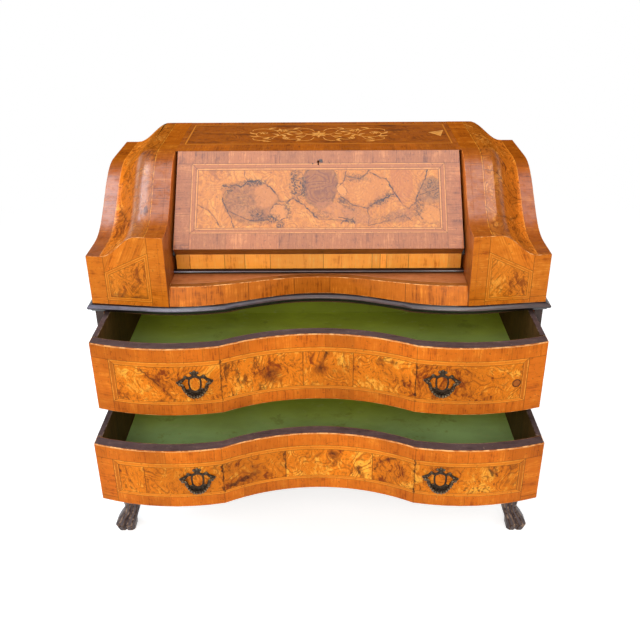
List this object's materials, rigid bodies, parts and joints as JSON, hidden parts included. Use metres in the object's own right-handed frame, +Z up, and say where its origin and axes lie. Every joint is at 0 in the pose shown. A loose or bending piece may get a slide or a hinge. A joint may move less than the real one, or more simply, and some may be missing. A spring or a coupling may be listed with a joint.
{
  "type": "slant-front bureau",
  "caption": "Writing bureau with a sloping fall front between carved wings, above serpentine long drawers with bail handles, on hoof feet.",
  "frame": {"origin": "on the floor, in the middle of the footprint of the bureau with its drawers pulled out as in the picture", "axes": "+X to the right of a person facing the fall, +Y from the front to the back, +Z up"},
  "size_m": [1.1758, 0.7872, 1.049],
  "materials": {
    "walnut": "french-polished straight-grained walnut veneer with crossbanding",
    "burr_walnut": "french-polished burr walnut veneer with light stringing",
    "carcase": "dark stained softwood and oak",
    "ebonised": "ebonised and polished moulding",
    "lining": "drawer board lined in green",
    "bronze": "dark patinated cast bronze",
    "iron": "dull wrought iron"
  },
  "bodies": {
    "case": {"foot_front_left": "carcase", "foot_front_right": "carcase", "foot_back_left": "carcase", "foot_back_right": "carcase", "case_side_left": "walnut", "case_side_right": "walnut", "lower_back": "carcase", "case_bottom": "carcase", "waist_board": "carcase", "base_rail": "walnut", "divider_rail": "walnut", "waist_rail": "carcase", "drawer_runner_left": "carcase", "drawer_runner_right": "carcase", "waist_moulding_front": "ebonised", "waist_moulding_left": "ebonised", "waist_moulding_right": "ebonised", "wing_left": "walnut", "wing_right": "walnut", "cheek_left": "walnut", "cheek_right": "walnut", "top_board": "walnut", "upper_back": "carcase", "fall_stop": "carcase", "apron": "walnut", "ledge": "walnut", "fall_rail": "walnut", "rail_bead": "ebonised", "writing_bed": "walnut", "interior_divider_left": "walnut", "interior_divider_right": "walnut", "interior_shelf_left": "walnut", "interior_shelf_right": "walnut"},
    "lower_drawer": {"lower_drawer_front": "burr_walnut", "lower_drawer_side_left": "carcase", "lower_drawer_side_right": "carcase", "lower_drawer_back": "carcase", "lower_drawer_bottom": "lining", "lower_drawer_handle_plate_left": "bronze", "lower_drawer_handle_plate_right": "bronze"},
    "upper_drawer": {"upper_drawer_front": "burr_walnut", "upper_drawer_side_left": "carcase", "upper_drawer_side_right": "carcase", "upper_drawer_back": "carcase", "upper_drawer_bottom": "lining", "upper_drawer_handle_plate_left": "bronze", "upper_drawer_handle_plate_right": "bronze"},
    "fall": {"fall_board": "burr_walnut", "fall_pivot_left": "iron", "fall_pivot_right": "iron", "lock_case": "iron"},
    "lock_bolt": {"lock_bolt": "iron"},
    "small_drawer_left": {"small_drawer_left": "walnut"},
    "small_drawer_right": {"small_drawer_right": "walnut"},
    "lower_drawer_bail_left": {"lower_drawer_handle_bail_left": "bronze"},
    "lower_drawer_bail_right": {"lower_drawer_handle_bail_right": "bronze"},
    "upper_drawer_bail_left": {"upper_drawer_handle_bail_left": "bronze"},
    "upper_drawer_bail_right": {"upper_drawer_handle_bail_right": "bronze"}
  },
  "joints": [
    {"name": "lower_drawer_slide", "type": "slide", "parent": "case", "child": "lower_drawer", "axis": [0, -1, 0], "range_m": [-0.2348, 0.09]},
    {"name": "upper_drawer_slide", "type": "slide", "parent": "case", "child": "upper_drawer", "axis": [0, -1, 0], "range_m": [-0.1605, 0.17]},
    {"name": "fall_hinge", "type": "hinge", "parent": "case", "child": "fall", "pos_m": [0, -0.04959, 0.83396], "axis": [1, 0, 0], "range_deg": [0, 132.61]},
    {"name": "lock_bolt_slide", "type": "slide", "parent": "fall", "child": "lock_bolt", "axis": [0, 0.6776, 0.7354], "range_m": [0, 0.009]},
    {"name": "small_drawer_left_slide", "type": "slide", "parent": "case", "child": "small_drawer_left", "axis": [0, -1, 0], "range_m": [0, 0.11]},
    {"name": "small_drawer_right_slide", "type": "slide", "parent": "case", "child": "small_drawer_right", "axis": [0, -1, 0], "range_m": [0, 0.11]},
    {"name": "lower_drawer_bail_left_swing", "type": "hinge", "parent": "lower_drawer", "child": "lower_drawer_bail_left", "pos_m": [-0.28348, -0.38575, 0.40395], "axis": [-0.9935, -0.1136, 0], "range_deg": [0, 80]},
    {"name": "lower_drawer_bail_right_swing", "type": "hinge", "parent": "lower_drawer", "child": "lower_drawer_bail_right", "pos_m": [0.28348, -0.38575, 0.40395], "axis": [-0.9935, 0.1136, 0], "range_deg": [0, 80]},
    {"name": "upper_drawer_bail_left_swing", "type": "hinge", "parent": "upper_drawer", "child": "upper_drawer_bail_left", "pos_m": [-0.28348, -0.31145, 0.62345], "axis": [-0.9935, -0.1136, 0], "range_deg": [0, 80]},
    {"name": "upper_drawer_bail_right_swing", "type": "hinge", "parent": "upper_drawer", "child": "upper_drawer_bail_right", "pos_m": [0.28348, -0.31145, 0.62345], "axis": [-0.9935, 0.1136, 0], "range_deg": [0, 80]}
  ]
}
